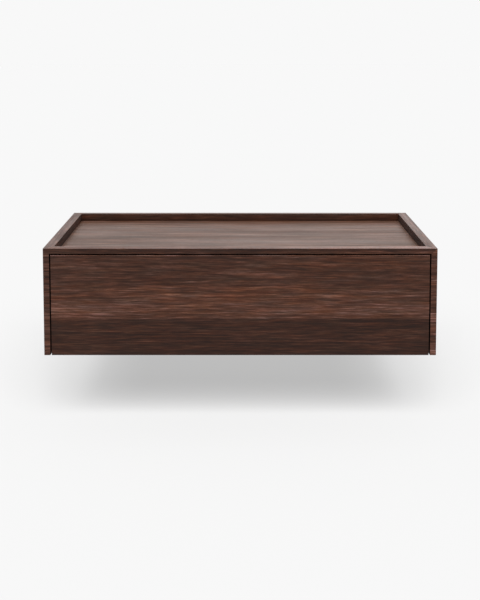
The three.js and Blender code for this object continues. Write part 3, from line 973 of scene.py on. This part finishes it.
class MakeDrawerFront(bpy.types.Operator):
    """Drawer front, with the broad bands of its veneer"""

    bl_idname = "nightstand.make_drawer_front"
    bl_label = "Make Drawer Front"

    def execute(self, context):
        low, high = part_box("drawer_front")
        # A dark band along the lower third, a paler one over it, and even wood above
        shares = ((0.0, -1.0), (0.34, -1.0), (0.4, 1.0), (0.6, 0.5), (0.7, 0.0), (1.0, 0.0))
        bands = [(low.z + share * (high.z - low.z), stops) for share, stops in shares]
        material = walnut(
            "walnut drawer front", "x", (2.6, 0.3, 0.34), flecks=0.5, bands=bands, figure=1.2
        )
        made = board("drawer_front", [(material, None)])
        painted_light(made, front_painted_light)
        settle(made, "drawer", "walnut", "drawer_front")
        return {"FINISHED"}


def front_painted_light(face):
    """Drawer front: painted highlights on its arrises, strongest along the top, and painted shade
    on its top and ends in the reveals.
    """
    if is_arris(face):
        upwards = 0.2
        return FRONT_TOP_ARRIS_PAINTED_HIGHLIGHT if face.normal.z > upwards else FRONT_ARRIS_PAINTED_HIGHLIGHT
    if face.normal.z > STRAIGHT:
        return FRONT_TOP_PAINTED_SHADE
    return FRONT_ENDS_PAINTED_SHADE if abs(face.normal.x) > STRAIGHT else 0.0


def plywood(node, across, along, plies):
    """A plywood board: veneer on its faces, plies along its cut edges."""
    low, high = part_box(node)
    axis = AXES[across]
    words = node.replace("_", " ")
    face = birch_face(f"birch face of {words}", along)
    edge = ply_edge(f"plies of {words}", across, low[axis], high[axis] - low[axis], plies)

    def cut(polygon):
        return abs(polygon.normal[axis]) < FACING

    return board(node, [(face, None), (edge, cut)])


class MakeDrawerBox(bpy.types.Operator):
    """Sides, ends and floor of the drawer box, in birch plywood"""

    bl_idname = "nightstand.make_drawer_box"
    bl_label = "Make Drawer Box"

    def execute(self, context):
        boards = (
            ("drawer_side_left", "x", "y", 9),
            ("drawer_side_right", "x", "y", 9),
            ("drawer_box_front", "y", "x", 9),
            ("drawer_box_back", "y", "x", 9),
            ("drawer_bottom", "z", "x", 5),
        )
        for node, across, along, plies in boards:
            settle(plywood(node, across, along, plies), "drawer", "birch", node)
        return {"FINISHED"}


class MakeCleats(bpy.types.Operator):
    """Both halves of the hanging cleat, in birch plywood"""

    bl_idname = "nightstand.make_cleats"
    bl_label = "Make Cleats"

    def execute(self, context):
        for node in ("carcass_cleat", "wall_cleat"):
            settle(plywood(node, "y", "x", 13), "carcass", "birch", node)
        return {"FINISHED"}


class MakeSlides(bpy.types.Operator):
    """Members and ball cages of both slides"""

    bl_idname = "nightstand.make_slides"
    bl_label = "Make Slides"

    def execute(self, context):
        zinc = zinc_plate("zinc plate", "y")
        sheet = zinc_plate("bright cage sheet", "y")
        steel = bright_steel("polished ball steel")
        tree = ball_tree()
        for side in SIDES:
            bodies = {"outer": "carcass", "middle": f"{side}_middle", "inner": "drawer"}
            for part, body in bodies.items():
                self.member(f"{side}_slide_{part}", body, zinc)
            for part in ("outer", "inner"):
                self.cage(side, part, tree, sheet, steel)
        return {"FINISHED"}

    def member(self, node, body, zinc):
        """A member with its folds rounded, and the edges of its lips eased."""
        metal = bpy.context.scene.nightstand_metal
        form = merged_copy(node)

        def long_corners(convex):
            return [e for e in form.edges if e.calc_length() > LONG_FOLD and is_corner(e, convex)]

        soften(form, [e for e in long_corners(True) if is_lip(e)], metal.lip, 2)
        soften(form, long_corners(False), metal.inner_bend, 3)
        soften(form, [e for e in long_corners(True) if not is_lip(e)], metal.bend, 3)
        made = from_form(f"{node}_rail", form, SHEET_SMOOTH)
        made.modifiers.new("even shading", "WEIGHTED_NORMAL").keep_sharp = True
        apply_modifiers(made)
        give(made, (zinc, None))
        settle(made, body, "zinc_steel", node)

    def cage(self, side, part, tree, sheet, steel):
        """A trough of thin sheet whose arms hold the balls."""
        metal = bpy.context.scene.nightstand_metal
        node = f"{side}_slide_{part}_cage"
        low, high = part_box(node)
        web, reach = (high.x, low.x) if side == "right" else (low.x, high.x)
        way = math.copysign(1, reach - web)
        middle = (low.z + high.z) / 2
        rise = (high.z - low.z) / 2 - BALL_REACH * metal.ball
        across = reach - way * (metal.ball + metal.cage_sheet)
        pitch = (high.y - low.y) / metal.balls
        form = trough(web, reach, middle, rise, metal.cage_sheet, low.y, high.y)
        mesh = bpy.data.meshes.new(node)
        form.to_mesh(mesh)
        form.free()
        values = {
            "Balls": metal.balls,
            "Radius": metal.ball,
            "First": (across, low.y + pitch / 2, middle),
            "Step": (0.0, pitch, 0.0),
            "Rise": rise,
            "Sheet": sheet,
            "Metal": steel,
        }
        made = run_tree(f"{node}_with_balls", tree, mesh, values)
        settle(made, f"{side}_{part}_balls", "bright_steel", node)


def is_lip(edge):
    """Whether a long edge is on the cut edge of a sheet: one of its faces is a narrow strip."""
    widths = [face.calc_area() / edge.calc_length() for face in edge.link_faces]
    return min(widths) < bpy.context.scene.nightstand_metal.widest_sheet


def trough(web, reach, middle, rise, sheet, start, end):
    """A shallow trough of thin sheet along Y: a web, and an arm above and below."""
    way = math.copysign(1, reach - web)
    outer, inner = rise + sheet / 2, rise - sheet / 2
    outline = [
        (web, -outer),
        (reach, -outer),
        (reach, -inner),
        (web + way * sheet, -inner),
        (web + way * sheet, inner),
        (reach, inner),
        (reach, outer),
        (web, outer),
    ]
    form = bmesh.new()
    corners = [form.verts.new((x, start, middle + z)) for x, z in outline]
    face = form.faces.new(corners)
    grown = bmesh.ops.extrude_face_region(form, geom=[face])["geom"]
    moving = [item for item in grown if isinstance(item, bmesh.types.BMVert)]
    bmesh.ops.translate(form, verts=moving, vec=(0, end - start, 0))
    bmesh.ops.recalc_face_normals(form, faces=form.faces)
    folds = [e for e in form.edges if e.calc_length() > SHORTEST_FOLD and is_corner(e, True)]
    soften(form, folds, sheet / 3, 2)
    return form


class MakeLatch(bpy.types.Operator):
    """Push latch: housing, plunger, tip and spring, and the striker plate that it meets"""

    bl_idname = "nightstand.make_latch"
    bl_label = "Make Latch"

    def execute(self, context):
        latch = context.scene.nightstand_latch
        grey = moulded_plastic("moulded grey plastic", tuple(latch.housing), 0.5)
        black = moulded_plastic("moulded black plastic", tuple(latch.cap), 0.55)
        steel = bright_steel("bright plate steel")
        self.housing(grey)
        self.plunger(grey)
        self.tip(black, steel)
        self.spring(steel)
        self.striker(steel)
        return {"FINISHED"}

    def housing(self, grey):
        """A round barrel on a flange, bored for the plunger, with two countersunk holes."""
        latch = bpy.context.scene.nightstand_latch
        low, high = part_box("latch_housing")
        middle = (low.z + high.z) / 2
        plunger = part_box("latch_plunger")
        radius, shoulder = BARREL, high.y - FLANGE
        bore = (plunger[1].x - plunger[0].x) / 2 + PLUNGER_GAP
        start, nose = (low.x, shoulder, low.z), 0.0008
        flange = rounded_plate(start, high, latch.corner, 0.0005)
        inside = high.y - FLANGE / 2
        barrel = turned(
            "barrel",
            [
                (0, low.y),
                (radius - nose, low.y),
                (radius, low.y + nose),
                (radius, inside),
                (0, inside),
            ],
            ROUND,
        )
        overrun, mouth_width, mouth_depth = 0.001, 0.0013, 0.0005
        hole = turned(
            "bore",
            [
                (0, low.y - overrun),
                (bore + mouth_width, low.y - overrun),
                (bore, low.y + mouth_depth),
                (bore, shoulder),
                (0, shoulder),
            ],
            ROUND,
        )
        moved(barrel, 0, 0, middle)
        moved(hole, 0, 0, middle)
        cut_or_join(flange, barrel, "UNION")
        cut_or_join(flange, hole, "DIFFERENCE")
        for side in SIDES:
            screw = screw_place(f"latch_screw_{side}")
            cut_or_join(flange, countersink(screw), "DIFFERENCE")
        flange.name = "latch_housing_moulded"
        flange.data.shade_smooth()
        flange.data.set_sharp_from_angle(angle=SMOOTH)
        give(flange, (grey, None))
        settle(flange, "carcass", "grey_plastic", "latch_housing")

    def plunger(self, grey):
        """A rod, bored from behind for the spring, its ends eased."""
        latch = bpy.context.scene.nightstand_latch
        low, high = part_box("latch_plunger")
        radius, bore, ease = (high.x - low.x) / 2, latch.spring_bore, 0.0003
        floor = high.y - latch.bore_depth
        made = turned(
            "latch_plunger_rod",
            [
                (0, low.y),
                (radius - ease, low.y),
                (radius, low.y + ease),
                (radius, high.y - ease),
                (radius - ease, high.y),
                (bore + ease, high.y),
                (bore, high.y - ease),
                (bore, floor),
                (0, floor),
            ],
            ROUND,
        )
        moved(made, 0, 0, (low.z + high.z) / 2)
        give(made, (grey, None))
        settle(made, "plunger", "grey_plastic", "latch_plunger")

    def tip(self, black, steel):
        """A black cap with the steel-faced magnet let into its end."""
        latch = bpy.context.scene.nightstand_latch
        low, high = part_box("latch_tip")
        radius = (high.x - low.x) / 2
        disc = radius * latch.magnet_share
        groove, nose, shoulder = 0.0002, 0.001, 0.0003
        made = turned(
            "latch_tip_cap",
            [
                (0, low.y + groove),
                (disc, low.y + groove),
                (disc, low.y + 2 * groove),
                (disc + groove, low.y + 2 * groove),
                (disc + groove, low.y + groove / 2),
                (disc + 2 * groove, low.y),
                (radius - nose, low.y),
                (radius - shoulder, low.y + shoulder),
                (radius, low.y + nose),
                (radius, high.y - groove),
                (radius - groove, high.y),
                (0, high.y),
            ],
            ROUND,
        )

        def on_magnet(polygon):
            middle = polygon.center
            near = math.hypot(middle.x, middle.z) < disc
            return near and middle.y < low.y + 1.5 * groove

        give(made, (black, None), (steel, on_magnet))
        moved(made, 0, 0, (low.z + high.z) / 2)
        settle(made, "plunger", "black_plastic", "latch_tip")

    def spring(self, steel):
        latch = bpy.context.scene.nightstand_latch
        low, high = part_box("latch_spring")
        wire = latch.wire / 2
        values = {
            "Turns": float(latch.turns),
            "Coil radius": (high.x - low.x) / 2 - wire,
            "Wire radius": wire,
            "Length": high.y - low.y - 2 * wire,
            "Metal": steel,
        }
        made = run_tree("latch_spring_wire", spring_tree(), bpy.data.meshes.new("empty"), values)
        made.data.transform(Matrix.Rotation(-math.pi / 2, 4, "X"))
        moved(made, 0, low.y + wire, (low.z + high.z) / 2)
        made.data.shade_smooth()
        settle(made, "carcass", "bright_steel", "latch_spring")

    def striker(self, steel):
        latch = bpy.context.scene.nightstand_latch
        low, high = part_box("striker_plate")
        made = rounded_plate(low, high, latch.corner, 0.0002)
        for side in SIDES:
            cut_or_join(made, countersink(screw_place(f"striker_screw_{side}")), "DIFFERENCE")
        made.name = "striker_plate_steel"
        give(made, (steel, None))
        settle(made, "drawer", "bright_steel", "striker_plate")


def rounded_plate(low, high, corner, arris):
    """A flat plate across the Y axis with rounded corners and a softened rim."""
    form = bmesh.new()
    bmesh.ops.create_cube(form, size=1)
    size = [top - bottom for bottom, top in zip(low, high)]
    centre = [(bottom + top) / 2 for bottom, top in zip(low, high)]
    bmesh.ops.scale(form, vec=size, verts=form.verts)
    bmesh.ops.translate(form, vec=centre, verts=form.verts)
    runs = {edge: (edge.verts[0].co - edge.verts[1].co).normalized() for edge in form.edges}
    soften(form, [edge for edge, run in runs.items() if abs(run.y) > STRAIGHT], corner, 6)
    rim = [e for e in form.edges if e.calc_face_angle(0) > RIM]
    soften(form, rim, arris, 2)
    return from_form("plate", form, SMOOTH)


def cut_or_join(made, tool, operation):
    """Cuts a tool out of a piece, or joins it on, and removes the tool."""
    modifier = made.modifiers.new("cut", "BOOLEAN")
    modifier.operation = operation
    modifier.solver = "EXACT"
    modifier.object = tool
    apply_modifiers(made)
    bpy.data.objects.remove(tool)


def screw_place(node):
    """Where a screw of the part is: the middle of its head's face, the way it goes, its length."""
    low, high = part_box(node)
    axis = max(range(3), key=lambda i: high[i] - low[i])
    middle = (low + high) / 2
    points = [vertex.co for vertex in frame["nodes"][node].data.vertices]
    first, last = (max_radius(points, middle, axis, level) for level in (low[axis], high[axis]))
    way, at = Vector((0, 0, 0)), middle.copy()
    way[axis] = 1 if first > last else -1
    at[axis] = low[axis] if first > last else high[axis]
    return {"at": at, "way": way, "length": high[axis] - low[axis]}


def max_radius(points, middle, axis, level):
    """The widest that a screw is near one level of its axis."""
    others = [i for i in range(3) if i != axis]
    near = [p for p in points if abs(p[axis] - level) < TOUCH]
    return max((math.hypot(*(p[i] - middle[i] for i in others)) for p in near), default=0)


def countersink(screw):
    """The hole that a screw's head and shank leave, a little larger than the screw."""
    sizes = bpy.context.scene.nightstand_screws
    overrun = 0.001
    head, shank = sizes.head + SCREW_GAP, sizes.shank + SCREW_GAP
    tool = turned(
        "countersink",
        [
            (0, -overrun),
            (head, -overrun),
            (head, SCREW_GAP),
            (shank, SCREW_GAP + head - shank),
            (shank, screw["length"]),
            (0, screw["length"]),
        ],
        ROUND // 2,
    )
    turn = Vector((0, 1, 0)).rotation_difference(screw["way"]).to_matrix().to_4x4()
    tool.data.transform(Matrix.Translation(screw["at"]) @ turn)
    return tool


class MakeScrews(bpy.types.Operator):
    """Every screw of the part, one mesh for each body that holds some"""

    bl_idname = "nightstand.make_screws"
    bl_label = "Make Screws"

    def execute(self, context):
        sizes = context.scene.nightstand_screws
        metal = zinc_plate("screw zinc", "y")
        tree = screw_tree()
        for body in ("carcass", "drawer"):
            nodes = [n for n in frame["record"]["behaviour"]["bodies"][body] if "_screw_" in n]
            places = [screw_place(node) for node in nodes]
            mesh = bpy.data.meshes.new(f"{body} screw places")
            mesh.from_pydata([place["at"] for place in places], [], [])
            ways = mesh.attributes.new("way", "FLOAT_VECTOR", "POINT")
            ways.data.foreach_set("vector", [part for place in places for part in place["way"]])
            lengths = mesh.attributes.new("length", "FLOAT", "POINT")
            lengths.data.foreach_set("value", [place["length"] for place in places])
            values = {
                "Head radius": sizes.head,
                "Shank radius": sizes.shank,
                "Core radius": sizes.core,
                "Pitch": sizes.pitch,
                "Recess width": sizes.recess,
                "Recess depth": sizes.recess_depth,
                "Metal": metal,
            }
            made = run_tree(f"{body}_screws", tree, mesh, values)
            settle(made, body, "screw_steel", *nodes)
        return {"FINISHED"}


class MakeStage(bpy.types.Operator):
    """Pale floor and surroundings, soft studio lamps and the camera"""

    bl_idname = "nightstand.make_stage"
    bl_label = "Make Stage"

    def execute(self, context):
        stage = context.scene.nightstand_stage
        self.world(stage)
        floor = self.floor(stage)
        for name, aside, up, size, strength in self.part_lamps(stage):
            self.sun(name, aside, up, size, strength, floor, "EXCLUDE")
        for name, aside, up, size, strength in self.floor_lamps(stage):
            self.sun(name, aside, up, size, strength, floor, "INCLUDE")
        self.camera(stage)
        return {"FINISHED"}

    def part_lamps(self, stage):
        """Name, angle aside, angle up, width and strength of each lamp that lights the part."""
        return (
            ("top lamp", 0.0, stage.top_up, stage.top_size, stage.top),
            ("front lamp", 0.0, stage.fill_up, stage.fill_size, stage.fill),
        )

    def floor_lamps(self, stage):
        """A row of three lamps that throw the soft shadow on the floor, and light nothing else."""
        row = ((0.0, 0.5), (-stage.floor_aside, 0.25), (stage.floor_aside, 0.25))
        return tuple(
            (f"floor lamp {n}", aside, stage.floor_up, stage.floor_size, share * stage.floor_lamps)
            for n, (aside, share) in enumerate(row)
        )

    def floor(self, stage):
        """A wide floor that only the camera sees, so that it takes no light from the part."""
        ways = ((-1, -1), (1, -1), (1, 1), (-1, 1))
        reach = stage.floor_reach
        corners = [(x * reach, y * reach, -stage.floor_drop) for x, y in ways]
        mesh = bpy.data.meshes.new("floor")
        mesh.from_pydata(corners, [], [(0, 1, 2, 3)])
        mesh.materials.append(self.paint(stage))
        made = put("floor", mesh)
        for ray in ("diffuse", "glossy", "transmission", "shadow", "volume_scatter"):
            setattr(made, f"visible_{ray}", False)
        return made

    def paint(self, stage):
        """Near-white paint: a share of its light is the lamps', with the part's shadow in it.
        It is clear from below, so that the part can be seen from there."""
        material, tree = new_material("floor paint")
        light = stage.ambient
        light += sum(lamp[4] * math.sin(math.radians(lamp[2])) for lamp in self.floor_lamps(stage))
        lit = stage.floor_share * NEAR_WHITE / light
        matt = tree.add("ShaderNodeBsdfDiffuse", {"Color": (lit, lit, lit, 1.0)})
        glow = (1 - stage.floor_share) * NEAR_WHITE
        even = tree.add("ShaderNodeEmission", {"Color": (glow, glow, glow, 1.0), "Strength": 1.0})
        both = tree.add("ShaderNodeAddShader", {0: matt.outputs[0], 1: even.outputs[0]})
        clear = tree.add("ShaderNodeBsdfTransparent")
        behind = tree.add("ShaderNodeNewGeometry").outputs["Backfacing"]
        shaders = {0: behind, 1: both.outputs[0], 2: clear.outputs[0]}
        seen = tree.add("ShaderNodeMixShader", shaders)
        tree.add("ShaderNodeOutputMaterial", {"Surface": seen.outputs[0]})
        return material

    def world(self, stage):
        """Pale surroundings: near-white for the camera and reflections, soft light for the rest."""
        world = bpy.data.worlds.new("studio")
        world.use_nodes = True
        world.node_tree.nodes.clear()
        tree = Tree(world.node_tree)
        path = tree.add("ShaderNodeLightPath").outputs
        seen = path["Is Camera Ray"]
        for kind in ("Is Glossy Ray", "Is Transmission Ray"):
            seen = tree.sum("MAXIMUM", seen, path[kind])
        soft, pale = (
            tree.add("ShaderNodeBackground", {"Color": (1, 1, 1, 1), "Strength": strength})
            for strength in (stage.ambient, NEAR_WHITE)
        )
        both = tree.add("ShaderNodeMixShader", {0: seen, 1: soft.outputs[0], 2: pale.outputs[0]})
        tree.add("ShaderNodeOutputWorld", {"Surface": both.outputs[0]})
        bpy.context.scene.world = world

    def sun(self, name, aside, up, size, strength, floor, state):
        """A lamp far away, aside from straight ahead and up from level, both in degrees.
        It lights the floor alone, or all but the floor."""
        lamp = bpy.data.lights.new(name, "SUN")
        lamp.energy = strength * math.pi
        lamp.angle = math.radians(size)
        made = bpy.data.objects.new(name, lamp)
        bpy.context.scene.collection.objects.link(made)
        side, rise = math.radians(aside), math.radians(up)
        back = Vector(
            (math.sin(side) * math.cos(rise), -math.cos(side) * math.cos(rise), math.sin(rise))
        )
        made.rotation_euler = back.to_track_quat("Z", "Y").to_euler()
        made.location = back * 3
        lit = bpy.data.collections.new(f"lit by {name}")
        lit.objects.link(floor)
        lit.collection_objects[0].light_linking.link_state = state
        made.light_linking.receiver_collection = lit

    def camera(self, stage):
        lens = bpy.data.cameras.new("camera")
        lens.lens = stage.lens
        lens.sensor_width = 36.0
        lens.shift_x, lens.shift_y = CAMERA_SHIFT
        lens.clip_end = 50.0
        made = bpy.data.objects.new("camera", lens)
        made.location = CAMERA_PLACE
        made.rotation_euler = (math.radians(90 - CAMERA_TILT), 0.0, 0.0)
        bpy.context.scene.collection.objects.link(made)
        bpy.context.scene.camera = made
        bpy.context.scene.view_settings.view_transform = "Standard"


class NightstandPanel(bpy.types.Panel):
    """The settings and the makers of the nightstand"""

    bl_idname = "VIEW3D_PT_nightstand"
    bl_label = "Nightstand"
    bl_space_type = "VIEW_3D"
    bl_region_type = "UI"
    bl_category = "Nightstand"

    def draw(self, context):
        layout = self.layout
        for name, kind in GROUPS.items():
            box = layout.box()
            box.label(text=name.replace("nightstand_", "").title())
            settings = getattr(context.scene, name)
            for key in kind.__annotations__:
                box.prop(settings, key)
        for operator in OPERATORS:
            layout.operator(operator.bl_idname)


GROUPS = {
    "nightstand_wood": WoodSettings,
    "nightstand_metal": MetalSettings,
    "nightstand_screws": ScrewSettings,
    "nightstand_latch": LatchSettings,
    "nightstand_stage": StageSettings,
}
OPERATORS = (
    MakeCarcass,
    MakeDrawerFront,
    MakeDrawerBox,
    MakeCleats,
    MakeSlides,
    MakeLatch,
    MakeScrews,
    MakeStage,
)


def register():
    for kind in (*GROUPS.values(), *OPERATORS, NightstandPanel):
        bpy.utils.register_class(kind)
    for name, kind in GROUPS.items():
        setattr(bpy.types.Scene, name, bpy.props.PointerProperty(type=kind))


def unregister():
    for name in GROUPS:
        delattr(bpy.types.Scene, name)
    for kind in (NightstandPanel, *reversed(OPERATORS), *GROUPS.values()):
        bpy.utils.unregister_class(kind)


def main():
    """Makes everything."""
    register()
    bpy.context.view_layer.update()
    for operator in OPERATORS:
        group, call = operator.bl_idname.split(".")
        getattr(getattr(bpy.ops, group), call)()


if __name__ == "__main__":
    main()
